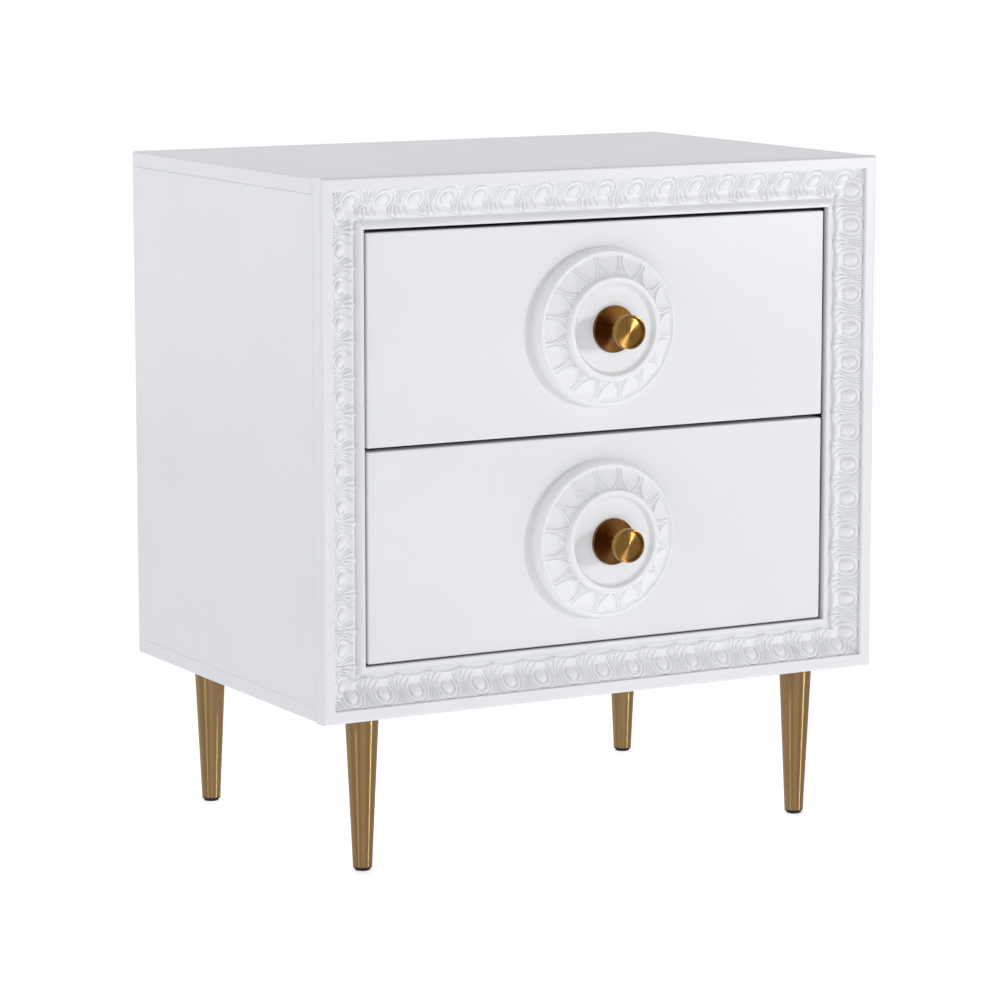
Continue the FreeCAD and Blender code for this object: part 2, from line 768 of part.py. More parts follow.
def build_legs():
    plates = []
    plate_screws = []
    collars = []
    for name, (x, y) in leg_places().items():
        plates.append(leg_plate(x, y))
        plate_screws += [screw(back_screw_diameter, plate_screw_length, screw_head_diameter,
                               screw_head_height, seat, (0, 0, 1)) for seat in plate_screw_seats(x, y)]
        save("leg_" + name, leg_shape(x, y))
        collars.append(collar_shape(x, y))
        save("glide_" + name, glide_shape(x, y))
    save("leg_plates", *plates)
    save("leg_plate_screws", *plate_screws)
    save("leg_collars", *collars)


os.makedirs("parts", exist_ok=True)
build_case()
build_frame()
build_slides()
for drawer_level in levels:
    build_drawer(drawer_level)
build_legs()
print("body", case_width, case_depth, case_height, "overall height", case_top, "knobs proud", knob_proud)
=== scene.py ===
import json
import math

import bpy
import numpy as np
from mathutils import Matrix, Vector


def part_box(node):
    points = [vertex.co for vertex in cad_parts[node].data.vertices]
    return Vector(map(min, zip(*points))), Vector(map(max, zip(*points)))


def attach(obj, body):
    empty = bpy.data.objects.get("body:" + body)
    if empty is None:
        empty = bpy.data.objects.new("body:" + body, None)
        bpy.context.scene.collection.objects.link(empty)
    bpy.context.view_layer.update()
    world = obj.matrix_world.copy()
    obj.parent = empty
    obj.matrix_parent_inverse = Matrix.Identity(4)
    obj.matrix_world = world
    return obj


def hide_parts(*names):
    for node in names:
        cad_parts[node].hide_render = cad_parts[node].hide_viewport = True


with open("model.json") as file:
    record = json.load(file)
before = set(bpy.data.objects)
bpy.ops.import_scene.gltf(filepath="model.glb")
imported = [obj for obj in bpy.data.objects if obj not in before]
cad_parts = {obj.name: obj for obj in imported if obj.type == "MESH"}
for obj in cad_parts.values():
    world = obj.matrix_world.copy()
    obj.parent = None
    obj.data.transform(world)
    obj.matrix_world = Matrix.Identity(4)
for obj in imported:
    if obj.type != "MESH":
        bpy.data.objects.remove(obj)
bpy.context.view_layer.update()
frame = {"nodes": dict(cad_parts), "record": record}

nodes = frame["nodes"]
mm = 0.001


def hexColor(code):
    # sRGB hex to the linear colour that shaders take
    channels = [int(code[i:i + 2], 16) / 255 for i in (1, 3, 5)]
    linear = [c / 12.92 if c <= 0.04045 else ((c + 0.055) / 1.055) ** 2.4 for c in channels]
    return (*linear, 1.0)


def newMaterial(name):
    material = bpy.data.materials.new(name)
    material.use_nodes = True
    tree = material.node_tree
    return material, tree, tree.nodes["Principled BSDF"]


def setInputs(tree, node, inputs):
    # a value that is a socket gets linked, anything else is set on the input
    for name, value in inputs.items():
        if isinstance(value, bpy.types.NodeSocket):
            tree.links.new(value, node.inputs[name])
        else:
            node.inputs[name].default_value = value


def addNode(tree, kind, settings={}, inputs={}):
    node = tree.nodes.new(kind)
    for name, value in settings.items():
        setattr(node, name, value)
    setInputs(tree, node, inputs)
    return node


def finishNode(name, material):
    mesh = nodes[name].data
    mesh.materials.clear()
    mesh.materials.append(material)


def meshPiece(name, vertices, faces, material, smoothAngle=40):
    mesh = bpy.data.meshes.new(name)
    mesh.from_pydata([tuple(v) for v in vertices], [], faces)
    mesh.validate()
    mesh.update()
    mesh.shade_smooth()
    mesh.set_sharp_from_angle(angle=math.radians(smoothAngle))
    piece = bpy.data.objects.new(name, mesh)
    bpy.context.scene.collection.objects.link(piece)
    mesh.materials.append(material)
    return piece


def bend(start, corner, end, count):
    # points of a smooth curve that leaves start and reaches end along the two sides of a corner
    points = []
    for i in range(count + 1):
        f = i / count
        points.append(tuple((1 - f) ** 2 * p + 2 * f * (1 - f) * q + f ** 2 * r
                            for p, q, r in zip(start, corner, end)))
    return points


def ridge(distance, halfWidth):
    # a rounded bead's height, 1 on its crest and 0 past its half width
    return np.clip(1 - (distance / halfWidth) ** 2, 0, 1) ** 0.5


def smoothStep(low, high, x):
    t = np.clip((x - low) / (high - low), 0, 1)
    return t * t * (3 - 2 * t)


lacquer = {
    "color": "#EDEEF0",
    "shade": "#E8E9EC",        # where the film is a little thinner
    "carvedLitColor": "#F4F5F7",  # painted light: the cast carvings get a lighter copy of the lacquer, standing in for the light they catch
    "carvedLitShade": "#EFF0F2",
    "driftSize": 90.0,         # mm across a drift of tone
    "roughness": 0.30,
    "smoother": 0.03,          # how far the roughness drops and rises over the drift
    "rougher": 0.04,
    "ior": 1.5,
    "peelSize": 2.2,           # mm, orange peel of a sprayed lacquer
    "peelHeight": 0.006,       # mm
    "peelStrength": 0.8,
}


def satinLacquer(name, color, shade):
    # sprayed satin polyurethane: clean cool white, soft broad highlights
    material, tree, shader = newMaterial(name)
    place = addNode(tree, "ShaderNodeTexCoord").outputs["Object"]
    drift = addNode(tree, "ShaderNodeTexNoise", {}, {
        "Vector": place, "Scale": 1 / (lacquer["driftSize"] * mm), "Detail": 2.0})
    tone = addNode(tree, "ShaderNodeMix", {"data_type": "RGBA"})
    setInputs(tree, tone, {0: drift.outputs["Fac"], 6: hexColor(shade), 7: hexColor(color)})
    sheen = addNode(tree, "ShaderNodeMapRange", {}, {
        "Value": drift.outputs["Fac"],
        "To Min": lacquer["roughness"] - lacquer["smoother"],
        "To Max": lacquer["roughness"] + lacquer["rougher"],
    })
    peel = addNode(tree, "ShaderNodeTexNoise", {}, {
        "Vector": place, "Scale": 1 / (lacquer["peelSize"] * mm), "Detail": 1.0})
    bump = addNode(tree, "ShaderNodeBump", {}, {
        "Height": peel.outputs["Fac"], "Distance": lacquer["peelHeight"] * mm,
        "Strength": lacquer["peelStrength"]})
    setInputs(tree, shader, {
        "Base Color": tone.outputs[2],
        "Roughness": sheen.outputs["Result"],
        "Normal": bump.outputs["Normal"],
        "IOR": lacquer["ior"],
    })
    return material


quarterTurn = 0.25            # of a full turn, sets a drawn-out highlight square to the brush lines

brass = {
    "color": "#C2A070",
    "dark": "#BA9768",
    "roughness": 0.30,
    "spread": 0.01,           # of the roughness, to each side
    "sheen": 1.0,             # how far the brushing draws a highlight out
    "grainSize": 1.2,         # mm between brush lines, about three times the real spacing so that they show
    "roundTheLeg": 0.05,      # below 1, the brush lines run round the leg
    "patinaSize": 40.0,       # mm across a patch of patina
    "patinaShare": 0.85,      # of the tone, the rest is brush lines
    "patinaHeight": 0.05,     # mm
}


def brushedBrass():
    # satin brass polished round the leg: upright streaks of light between brown bands
    material, tree, shader = newMaterial("brushedBrass")
    place = addNode(tree, "ShaderNodeTexCoord").outputs["Object"]
    stretch = addNode(tree, "ShaderNodeMapping", {}, {
        "Vector": place, "Scale": (brass["roundTheLeg"], brass["roundTheLeg"], 1)})
    grain = addNode(tree, "ShaderNodeTexNoise", {}, {
        "Vector": stretch.outputs["Vector"], "Scale": 1 / (brass["grainSize"] * mm), "Detail": 2.0})
    patina = addNode(tree, "ShaderNodeTexNoise", {}, {
        "Vector": place, "Scale": 1 / (brass["patinaSize"] * mm), "Detail": 2.0})
    blend = addNode(tree, "ShaderNodeMix", {"data_type": "FLOAT"})
    setInputs(tree, blend, {0: brass["patinaShare"], 2: grain.outputs["Fac"], 3: patina.outputs["Fac"]})
    tone = addNode(tree, "ShaderNodeMix", {"data_type": "RGBA"})
    setInputs(tree, tone, {0: blend.outputs[0], 6: hexColor(brass["dark"]), 7: hexColor(brass["color"])})
    rough = addNode(tree, "ShaderNodeMapRange", {}, {
        "Value": grain.outputs["Fac"],
        "To Min": brass["roughness"] - brass["spread"],
        "To Max": brass["roughness"] + brass["spread"],
    })
    bump = addNode(tree, "ShaderNodeBump", {}, {
        "Height": patina.outputs["Fac"], "Distance": brass["patinaHeight"] * mm, "Strength": 1.0})
    around = addNode(tree, "ShaderNodeTangent", {"direction_type": "RADIAL", "axis": "Z"})
    setInputs(tree, shader, {
        "Base Color": tone.outputs[2],
        "Metallic": 1.0,
        "Roughness": rough.outputs["Result"],
        "Anisotropic": brass["sheen"],
        "Anisotropic Rotation": quarterTurn,
        "Tangent": around.outputs["Tangent"],
        "Normal": bump.outputs["Normal"],
    })
    return material


turned = {
    "color": "#B48A4C",
    "dark": "#A0763C",
    "sheen": 0.95,            # bright cuts on the knob draw the light into a bow tie
    # painted shade: the knob's backing disc takes a darker copy of the brass, standing in for the dim
    # surroundings it mirrors
    "baseShadedColor": "#8A6034",
    "baseShadedDark": "#6C4824",
    "baseSheen": 0.4,
    "roughness": 0.26,
    "spread": 0.02,
    "toneSize": 6.0,          # mm across a patch of tone
}


def turnedBrass(name, color, dark, sheen):
    # brass off the lathe: its rings are too fine to see and only draw the light out round the axis
    material, tree, shader = newMaterial(name)
    place = addNode(tree, "ShaderNodeTexCoord").outputs["Object"]
    patch = addNode(tree, "ShaderNodeTexNoise", {}, {
        "Vector": place, "Scale": 1 / (turned["toneSize"] * mm), "Detail": 2.0})
    tone = addNode(tree, "ShaderNodeMix", {"data_type": "RGBA"})
    setInputs(tree, tone, {0: patch.outputs["Fac"], 6: hexColor(dark), 7: hexColor(color)})
    rough = addNode(tree, "ShaderNodeMapRange", {}, {
        "Value": patch.outputs["Fac"],
        "To Min": turned["roughness"] - turned["spread"],
        "To Max": turned["roughness"] + turned["spread"],
    })
    around = addNode(tree, "ShaderNodeTangent", {"direction_type": "RADIAL", "axis": "Y"})
    setInputs(tree, shader, {
        "Base Color": tone.outputs[2],
        "Metallic": 1.0,
        "Roughness": rough.outputs["Result"],
        "Anisotropic": sheen,
        "Anisotropic Rotation": quarterTurn,
        "Tangent": around.outputs["Tangent"],
    })
    return material


nylon = {
    "color": "#161616",
    "roughness": 0.5,
    "ior": 1.53,
    "gritSize": 0.6,          # mm, texture of a spark-eroded mould
    "gritHeight": 0.03,       # mm
    "gritStrength": 0.5,
}


def blackNylon():
    # moulded nylon: near black, dull, with a fine spark-eroded texture
    material, tree, shader = newMaterial("blackNylon")
    place = addNode(tree, "ShaderNodeTexCoord").outputs["Object"]
    grit = addNode(tree, "ShaderNodeTexNoise", {}, {
        "Vector": place, "Scale": 1 / (nylon["gritSize"] * mm), "Detail": 2.0})
    bump = addNode(tree, "ShaderNodeBump", {}, {
        "Height": grit.outputs["Fac"], "Distance": nylon["gritHeight"] * mm,
        "Strength": nylon["gritStrength"]})
    setInputs(tree, shader, {
        "Base Color": hexColor(nylon["color"]),
        "Roughness": nylon["roughness"],
        "Normal": bump.outputs["Normal"],
        "IOR": nylon["ior"],
    })
    return material


zinc = {
    "color": "#B9BEC2",
    "dark": "#9BA1A6",
    "roughness": 0.34,
    "spread": 0.06,
    "spangleSize": 6.0,       # mm across a crystal
}


def zincPlate():
    # bright zinc on rolled steel: cool grey with cloudy spangle
    material, tree, shader = newMaterial("zincPlate")
    place = addNode(tree, "ShaderNodeTexCoord").outputs["Object"]
    spangle = addNode(tree, "ShaderNodeTexVoronoi", {}, {
        "Vector": place, "Scale": 1 / (zinc["spangleSize"] * mm)})
    tone = addNode(tree, "ShaderNodeMix", {"data_type": "RGBA"})
    setInputs(tree, tone, {
        0: spangle.outputs["Color"], 6: hexColor(zinc["dark"]), 7: hexColor(zinc["color"])})
    rough = addNode(tree, "ShaderNodeMapRange", {}, {
        "Value": spangle.outputs["Distance"],
        "To Min": zinc["roughness"] - zinc["spread"],
        "To Max": zinc["roughness"] + zinc["spread"],
    })
    setInputs(tree, shader, {
        "Base Color": tone.outputs[2],
        "Metallic": 1.0,
        "Roughness": rough.outputs["Result"],
    })
    return material


birch = {
    "color": "#DCC197",
    "dark": "#C3A172",
    "crossPly": "#B48C5C",    # end grain of every other veneer
    "roughness": 0.45,
    "ior": 1.5,
    "grainWidth": 3.0,        # mm between growth lines
    "grainStretch": 0.06,     # below 1, the lines run along the board
    "grainWaver": 0.4,
    "grainHeight": 0.05,      # mm
    "grainStrength": 0.4,
    "pairHeight": 3.0,        # mm, two veneers
    "veneerShare": 0.5,       # of a pair, that the darker one takes
}


def birchPly(name, stack, grainAxis):
    # clear-lacquered birch plywood: pale straight grain, and striped edges where the veneers show
    material, tree, shader = newMaterial(name)
    place = addNode(tree, "ShaderNodeTexCoord").outputs["Object"]
    facing = addNode(tree, "ShaderNodeTexCoord").outputs["Normal"]
    stretch = [birch["grainStretch"] if axis == grainAxis else 1 for axis in "XYZ"]
    lay = addNode(tree, "ShaderNodeMapping", {}, {"Vector": place, "Scale": stretch})
    grain = addNode(tree, "ShaderNodeTexNoise", {}, {
        "Vector": lay.outputs["Vector"], "Scale": 1 / (birch["grainWidth"] * mm), "Detail": 4.0,
        "Distortion": birch["grainWaver"]})
    tone = addNode(tree, "ShaderNodeMix", {"data_type": "RGBA"})
    setInputs(tree, tone, {0: grain.outputs["Fac"], 6: hexColor(birch["dark"]), 7: hexColor(birch["color"])})

    # every other veneer is darker, only on faces that run along the stack
    height = addNode(tree, "ShaderNodeSeparateXYZ", {}, {"Vector": place}).outputs[stack]
    pairs = 1 / (birch["pairHeight"] * mm)
    count = addNode(tree, "ShaderNodeMath", {"operation": "MULTIPLY"}, {0: height, 1: pairs})
    part = addNode(tree, "ShaderNodeMath", {"operation": "FRACT"}, {0: count.outputs[0]})
    veneer = addNode(tree, "ShaderNodeMath", {"operation": "LESS_THAN"}, {
        0: part.outputs[0], 1: birch["veneerShare"]})
    along = addNode(tree, "ShaderNodeSeparateXYZ", {}, {"Vector": facing}).outputs[stack]
    level = addNode(tree, "ShaderNodeMath", {"operation": "ABSOLUTE"}, {0: along})
    edge = addNode(tree, "ShaderNodeMath", {"operation": "LESS_THAN"}, {
        0: level.outputs[0], 1: 0.5})  # true on faces that cut across the veneers
    stripe = addNode(tree, "ShaderNodeMath", {"operation": "MULTIPLY"}, {
        0: veneer.outputs[0], 1: edge.outputs[0]})
    striped = addNode(tree, "ShaderNodeMix", {"data_type": "RGBA"})
    setInputs(tree, striped, {0: stripe.outputs[0], 6: tone.outputs[2], 7: hexColor(birch["crossPly"])})

    bump = addNode(tree, "ShaderNodeBump", {}, {
        "Height": grain.outputs["Fac"], "Distance": birch["grainHeight"] * mm,
        "Strength": birch["grainStrength"]})
    setInputs(tree, shader, {
        "Base Color": striped.outputs[2],
        "Roughness": birch["roughness"],
        "Normal": bump.outputs["Normal"],
        "IOR": birch["ior"],
    })
    return material


beech = {
    "color": "#CFA878",
    "dark": "#B58A5C",
    "roughness": 0.6,
    "ior": 1.5,
    "fleckSize": 1.5,         # mm
}


def beechDowel():
    # plain beech: pinkish tan with short flecks
    material, tree, shader = newMaterial("beechDowel")
    place = addNode(tree, "ShaderNodeTexCoord").outputs["Object"]
    fleck = addNode(tree, "ShaderNodeTexNoise", {}, {
        "Vector": place, "Scale": 1 / (beech["fleckSize"] * mm), "Detail": 3.0})
    tone = addNode(tree, "ShaderNodeMix", {"data_type": "RGBA"})
    setInputs(tree, tone, {0: fleck.outputs["Fac"], 6: hexColor(beech["dark"]), 7: hexColor(beech["color"])})
    setInputs(tree, shader, {
        "Base Color": tone.outputs[2], "Roughness": beech["roughness"], "IOR": beech["ior"]})
    return material


lacquerFinish = satinLacquer("satinLacquer", lacquer["color"], lacquer["shade"])
# painted light: a lighter copy of the lacquer on the carved strips and medallions, standing in for the light
# they catch
carvedLitFinish = satinLacquer("satinLacquerLitOnCarving", lacquer["carvedLitColor"], lacquer["carvedLitShade"])
legFinish = brushedBrass()
knobFinish = turnedBrass("turnedBrass", turned["color"], turned["dark"], turned["sheen"])
# painted shade: a darker copy of the knob brass for the backing disc
knobBaseShadedFinish = turnedBrass("turnedBrassShaded", turned["baseShadedColor"], turned["baseShadedDark"], turned["baseSheen"])
nylonFinish = blackNylon()
zincFinish = zincPlate()
sidePlyFinish = birchPly("birchPlySides", "X", "Y")
crossPlyFinish = birchPly("birchPlyEnds", "Y", "X")
bottomPlyFinish = birchPly("birchPlyBottoms", "Z", "Y")
dowelFinish = beechDowel()

slotFinish = {
    "lacquer": lacquerFinish,
    "drawer_board": sidePlyFinish,
    "dowel_wood": dowelFinish,
    "brass": legFinish,
    "slide_steel": zincFinish,
    "screw_steel": zincFinish,
    "black_plastic": nylonFinish,
}
for part in frame["record"]["subparts"]:
    finishNode(part["node"], slotFinish[part["material_slot"]])
for level in ("lower", "upper"):
    finishNode("knob_" + level, knobFinish)
    finishNode("knob_base_" + level, knobBaseShadedFinish)
    finishNode("drawer_box_front_" + level, crossPlyFinish)
    finishNode("drawer_box_back_" + level, crossPlyFinish)
    finishNode("drawer_bottom_" + level, bottomPlyFinish)


carving = {
    "step": 0.5,              # mm between points of the relief
    "endToBall": 33.2,        # frame's outer end to the first egg
    "repeats": {"top": 16, "bottom": 16, "left": 13, "right": 13},
    "ballAcross": 22.9,       # frame's outer edge to the middle of an egg
    "ballRadius": 5.7,
    "ballRise": 5.2,
    "groove": 1.5,            # depth of the sunk ring round an egg
    "grooveInner": 6.3,       # radii between which it slopes up again
    "grooveOuter": 7.9,
    "cupRadius": 8.8,
    "cupWidth": 1.6,
    "cupHeight": 0.9,
    "valley": 0.9,            # depth of the crescent outside the cup
    "valleyRadius": 11.0,
    "valleyInner": 0.3,       # half widths of its floor and of its rim
    "valleyOuter": 1.6,
    "filletRadius": 12.4,
    "filletWidth": 1.1,
    "filletHeight": 0.6,
    "pearFlare": 0.016,       # how a cup narrows and lengthens towards the drawers
    "pearLength": 0.70,
    "openFrom": 0.40,         # sine of the angle where a cup opens, and where it is whole
    "openTo": 0.75,
    "fanStart": 12.0,         # lip's inner edge
    "fanReeds": 2.5,
    "fanSpacing": 3.2,        # reeds of the palmette beside the lip
    "waist": 25.5,            # where the palmette is narrowest
    "waistSpacing": 1.3,
    "reedHeight": 1.5,
    "reedShallow": 0.35,      # share of that height that doesn't shrink as the reeds close up
    "reedRound": 0.7,         # below 1, reeds are full and the lines between them sharp
    "petalSpread": 7.4,
    "petalWidth": 2.6,
    "petalHeight": 1.4,
    "petalRoot": 0.8,         # half a petal's width where it starts
    "petalTip": 2.6,          # length of its round tip
    "petalShort": 2.4,        # how far before the edge its tip starts
    "petalGround": 0.8,       # depth of the ground between petals
    "edgeLift": 3.0,          # how far the strip rises again towards its inner edge
    "liftFrom": 30,
    "liftTo": 37,
    "padHeight": 0.4,         # smooth pad under each egg
    "padInner": 4.0,          # half widths of its flat and of its rim
    "padOuter": 7.5,
    "padFrom": 4.5,           # below the middle of the egg, and where it is whole
    "padTo": 8.0,
    "pocketDepth": 1.0,
    "pocketAside": 6.6,       # from an egg's axis
    "pocketAcross": 34.3,     # from the frame's outer edge
    "pocketWidth": 1.5,
    "pocketLength": 2.6,
    "edgeAtBall": 36.4,       # scalloped inner edge, from the frame's outer edge
    "edgeAtPetal": 39.4,
    "flangeDrop": 1.2,
    # the strip's own section, as (in from the frame's edge, back from the lip) in mm
    "sectionFront": ([12.2, 13.4, 16.6, 29.0, 40.8], [4.0, 4.0, 4.8, 13.9, 14.2]),
    "sectionBack": ([12.2, 19.0, 29.5, 40.8], [9.8, 9.8, 15.8, 15.8]),
    "easing": 1.2,            # mm to each side over which the section's corners soften
    "easingFrom": 13.4,       # the corner beside the lip stays crisp
    "leastThickness": 0.3,
}


def carvedHeight(along, across, pitch):
    # relief on the strip's face in mm: along counts from an egg, across from the frame's outer edge
    c = carving
    t = (along + pitch / 2) % pitch - pitch / 2
    side = np.abs(t)
    drop = across - c["ballAcross"]
    below = np.maximum(drop, 0)

    # cup, crescent and fillet are pear shaped and open towards the drawers
    lengthened = np.where(drop > 0, drop * c["pearLength"], drop)
    pear = np.hypot(side * (1 + c["pearFlare"] * below), lengthened)
    opening = smoothStep(c["openFrom"], c["openTo"], side / np.maximum(np.hypot(side, drop), 0.01))
    rim = np.where(drop > 0, opening, 1.0)
    height = -c["groove"] * smoothStep(c["grooveOuter"], c["grooveInner"], pear) * rim
    height = height + c["cupHeight"] * ridge(pear - c["cupRadius"], c["cupWidth"]) * rim
    height = height - c["valley"] * smoothStep(
        c["valleyOuter"], c["valleyInner"], np.abs(pear - c["valleyRadius"])) * rim
    fillet = c["filletHeight"] * ridge(pear - c["filletRadius"], c["filletWidth"]) * rim
    height = np.maximum(height, np.where(fillet > 0.05, fillet, -9))

    # reeds fan out towards the lip, and lie shallower where they close up
    fromAxis = pitch / 2 - side
    rise = np.clip((across - c["fanStart"]) / (c["waist"] - c["fanStart"]), 0, 1)
    spacing = c["fanSpacing"] + (c["waistSpacing"] - c["fanSpacing"]) * rise ** 0.8
    phase = fromAxis / spacing
    depth = c["reedHeight"] * (c["reedShallow"] + (1 - c["reedShallow"]) * spacing / c["fanSpacing"])
    reed = depth * (np.abs(np.cos(np.pi * phase)) ** c["reedRound"] * 1.6 - 0.8)
    inFan = (phase < c["fanReeds"]) & (across < c["waist"] + 2) & (pear > c["filletRadius"] + 0.3)
    reed = reed * smoothStep(c["waist"] + 2, c["waist"] - 1, across) * smoothStep(12.2, 14.5, across)
    height = np.where(inFan, reed, height)

    # three petals with round tips spread towards the opening
    fall = np.clip((across - c["waist"] + 3) / (c["edgeAtPetal"] - c["waist"] + 3), 0, 1)
    width = c["petalRoot"] + (c["petalWidth"] - c["petalRoot"]) * fall
    edge = c["edgeAtBall"] + (c["edgeAtPetal"] - c["edgeAtBall"]) * (2 * side / pitch) ** 1.6
    onPetals = smoothStep(c["waist"] - 1, c["waist"] + 2, across)
    between = smoothStep(c["petalSpread"] + 4.5, c["petalSpread"] + 2, fromAxis) * onPetals
    height = height - c["petalGround"] * between
    for k in (0, 1):
        middle = k * (c["waistSpacing"] + (c["petalSpread"] - c["waistSpacing"]) * fall ** 1.2)
        tip = np.maximum(across - edge + c["petalShort"] + k, 0) / c["petalTip"]
        petal = (c["petalHeight"] + c["petalGround"]) * ridge(np.hypot((fromAxis - middle) / width, tip), 1)
        height = height + petal * onPetals

    # the smooth pad under each egg, with a pocket at each side of its neck
    pad = smoothStep(c["padOuter"], c["padInner"], side) * smoothStep(c["padFrom"], c["padTo"], below)
    height = height * (1 - pad) + c["padHeight"] * pad
    pocket = np.exp(-((side - c["pocketAside"]) / c["pocketWidth"]) ** 2
                    - ((across - c["pocketAcross"]) / c["pocketLength"]) ** 2)
    height = height - c["pocketDepth"] * pocket

    dome = c["ballRise"] * np.sqrt(np.clip(1 - (side ** 2 + drop ** 2) / c["ballRadius"] ** 2, 0, 1))
    height = np.where(dome > 0, np.maximum(dome - c["groove"], height), height)

    # the strip rises a little towards its scalloped edge, then drops to a thin flange
    height = height + c["edgeLift"] * smoothStep(c["liftFrom"], c["liftTo"], across)
    return height - (height + c["flangeDrop"]) * smoothStep(edge - 0.2, edge + 0.6, across)


def carvedMoulding(side):
    low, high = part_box("carved_strip_" + side)
    horizontal = side in ("top", "bottom")
    frameLow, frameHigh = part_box("frame_rail_" + side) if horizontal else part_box("frame_stile_" + side)
    lipY = frameLow.y
    frameLength = (frameHigh.x - frameLow.x if horizontal else frameHigh.z - frameLow.z) / mm
    inset = {"top": frameHigh.z - high.z, "bottom": low.z - frameLow.z,
             "left": low.x - frameLow.x, "right": frameHigh.x - high.x}[side] / mm
    width = (high.z - low.z if horizontal else high.x - low.x) / mm
    pitch = (frameLength - 2 * carving["endToBall"]) / carving["repeats"][side]

    # a grid over the strip, mitred at both ends; along counts from the frame's outer corner
    rows = int(width / carving["step"]) + 1
    columns = int(frameLength / carving["step"]) + 1
    across = inset + np.linspace(0, width, rows)[:, None] * np.ones((1, columns))
    along = across + (frameLength - 2 * across) * np.linspace(0, 1, columns)[None, :]
    section = carving["sectionFront"]
    easing = np.linspace(-carving["easing"], carving["easing"], 9)
    base = np.mean([np.interp(across + offset, *section) for offset in easing], axis=0)
    base = np.where(across < carving["easingFrom"], np.interp(across, *section), base)
    back = np.interp(across, *carving["sectionBack"])
    front = base - carvedHeight(along - carving["endToBall"], across, pitch)
    front = np.minimum(front, back - carving["leastThickness"])

    def place(depth):
        y = lipY + depth * mm
        if side == "bottom":
            return np.stack([frameLow.x + along * mm, y, frameLow.z + across * mm], -1).reshape(-1, 3)
        if side == "top":
            return np.stack([frameLow.x + along * mm, y, frameHigh.z - across * mm], -1).reshape(-1, 3)
        if side == "left":
            return np.stack([frameLow.x + across * mm, y, frameLow.z + along * mm], -1).reshape(-1, 3)
        return np.stack([frameHigh.x - across * mm, y, frameLow.z + along * mm], -1).reshape(-1, 3)

    index = np.arange(rows * columns).reshape(rows, columns)
    count = rows * columns
    quads = np.stack([index[:-1, :-1], index[:-1, 1:], index[1:, 1:], index[1:, :-1]], -1).reshape(-1, 4)
    rim = np.concatenate([index[0, :], index[1:, -1], index[-1, -2::-1], index[-2:0:-1, 0]])
    following = np.roll(rim, -1)
    walls = np.stack([following, rim, rim + count, following + count], -1)
    faces = np.concatenate([quads, quads[:, ::-1] + count, walls])
    if side in ("top", "left"):
        faces = faces[:, ::-1]
    vertices = np.concatenate([place(front), place(back)])
    piece = meshPiece("carvedMoulding_" + side, vertices, faces.tolist(), carvedLitFinish, smoothAngle=60)
    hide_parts("carved_strip_" + side)
    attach(piece, "case")


for side in ("top", "bottom", "left", "right"):
    carvedMoulding(side)
print("carved mouldings: four strips")


rosette = {
    "leaves": 16,
    "stepsPerLeaf": 60,
    "step": 0.5,              # mm between rings of points
    "rimBend": 5.5,           # height where the rim starts to round over
    "rimHeight": 9.2,
    "shoulderHeight": 11.8,
    "crestFoot": 12.2,
    "crest": 71.0,            # radius
    "crestHeight": 13.0,
    "leafOuter": 69.0,
    "leafOuterHeight": 11.5,
    "leafInner": 50.0,
    "leafInnerHeight": 20.0,
    "ringRadius": 46.4,
    "ringWidth": 5.0,
    "ringHeight": 26.0,
    "dishRadius": 41.0,
    "dishHeight": 21.5,
    "scoop": 1.0,             # depth of the flutes between the leaves
    "neck": 62.5,             # radius where a leaf is narrowest
    "neckSpread": 1.8,        # half width there
    "footSpread": 8.2,        # half width at the inner ring
    "veinSpread": 4.2,
    "veinStart": 60.5,        # radius where a leaf's vein forks
    "veinShare": 0.8,         # of the bead's height and width
    "budShare": 0.9,          # of the bead's height
    "budWidth": 1.2,
    "budFrom": 0.62,          # along the vein, and where it is whole
    "budTo": 0.8,
    "beadHeight": 1.5,
    "beadWidth": 1.05,
    "fluteRoom": 11.0,        # half width at which a flute gets its full depth
}


def rosetteProfile(outerRadius):
    # radius and height of the turned section, from the drawer front inwards; the small offsets
    # round the step at each ring
    r = rosette
    ringIn = r["ringRadius"] - r["ringWidth"] / 2
    ringOut = r["ringRadius"] + r["ringWidth"] / 2
    top = r["ringHeight"]
    dish = r["dishHeight"]
    key = [(outerRadius, 0.0)]
    key += bend((outerRadius, r["rimBend"]), (outerRadius - 0.3, r["rimHeight"]),
                (r["crest"] + 2.0, r["shoulderHeight"]), 8)
    key += bend((r["crest"] + 1.5, r["crestFoot"]), (r["crest"] + 0.6, r["crestHeight"] + 0.3),
                (r["crest"] - 0.4, r["crestHeight"] - 0.1), 5)
    key += bend((r["crest"] - 1.0, r["crestHeight"] - 0.8), (r["leafOuter"] + 0.3, r["leafOuterHeight"]),
                (r["leafOuter"] - 1.2, r["leafOuterHeight"] + 0.25), 4)
    key += bend((r["leafInner"] + 0.6, r["leafInnerHeight"] - 0.2), (r["leafInner"], r["leafInnerHeight"]),
                (r["leafInner"] - 0.1, r["leafInnerHeight"] + 0.8), 3)
    key += bend((ringOut + 0.4, top - 2.2), (ringOut, top), (ringOut - 1.6, top), 8)
    key += bend((ringIn + 1.2, top), (ringIn, top), (ringIn - 0.5, top - 0.9), 6)
    dishIn = r["dishRadius"]
    key += bend((dishIn + 0.9, dish + 1.4), (dishIn, dish), (dishIn - 1.7, dish), 6)
    key.append((0.0, dish))
    points = []
    for (r0, h0), (r1, h1) in zip(key[:-1], key[1:]):
        flat = r1 < 1
        steps = 12 if flat else max(1, int(math.hypot(r1 - r0, h1 - h0) / r["step"]))
        for i in range(steps):
            f = i / steps
            points.append((r0 + (r1 - r0) * f, h0 + (h1 - h0) * f))
    return points


